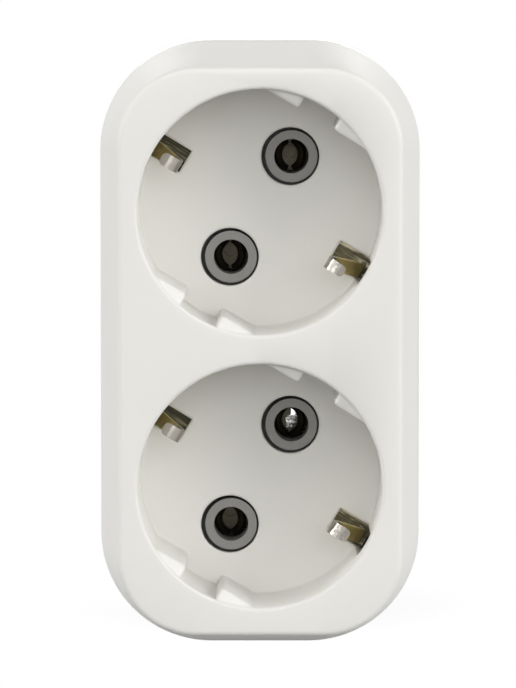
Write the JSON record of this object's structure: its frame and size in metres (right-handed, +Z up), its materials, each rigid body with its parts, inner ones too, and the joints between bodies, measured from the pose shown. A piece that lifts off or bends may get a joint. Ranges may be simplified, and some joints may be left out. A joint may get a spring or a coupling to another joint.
{
  "type": "multi socket adapter",
  "caption": "Wall adapter block with round earthed socket recesses on a sloped, round-cornered face and a round earthed plug with turned pins at the back.",
  "frame": {"origin": "centre of the part's box at its lowest level, on the surface that it stands on", "axes": "+Z up along the long side, +X right seen from the sockets, which face -Y; plug pins point +Y"},
  "size_m": [0.052, 0.078, 0.0986],
  "materials": {
    "white_housing": "moulded, satin gloss, slightly warm white",
    "grey_insulator": "moulded, matt dark grey",
    "plated_contact": "nickel-plated spring strip",
    "brass_strip": "punched and folded strip, dull",
    "plated_spring": "nickel-plated spring strip, bright",
    "brass_rivet": "headed, dull",
    "plated_pin": "turned, nickel-plated",
    "steel_screw": "zinc-plated"
  },
  "bodies": {
    "root": {"front_cover": "white_housing", "rear_cover": "white_housing", "upper_contact_carrier": "grey_insulator", "lower_contact_carrier": "grey_insulator", "upper_live_contact": "plated_contact", "upper_neutral_contact": "plated_contact", "lower_live_contact": "plated_contact", "lower_neutral_contact": "plated_contact", "contact_rivets": "plated_contact", "live_bus_bar": "brass_strip", "neutral_bus_bar": "brass_strip", "earth_link": "brass_strip", "earth_stem": "brass_strip", "upper_earth_clip": "plated_spring", "lower_earth_clip": "plated_spring", "plug_earth_bow": "plated_spring", "earth_rivets": "brass_rivet", "live_plug_pin": "plated_pin", "neutral_plug_pin": "plated_pin", "housing_screws": "steel_screw"}
  },
  "joints": []
}
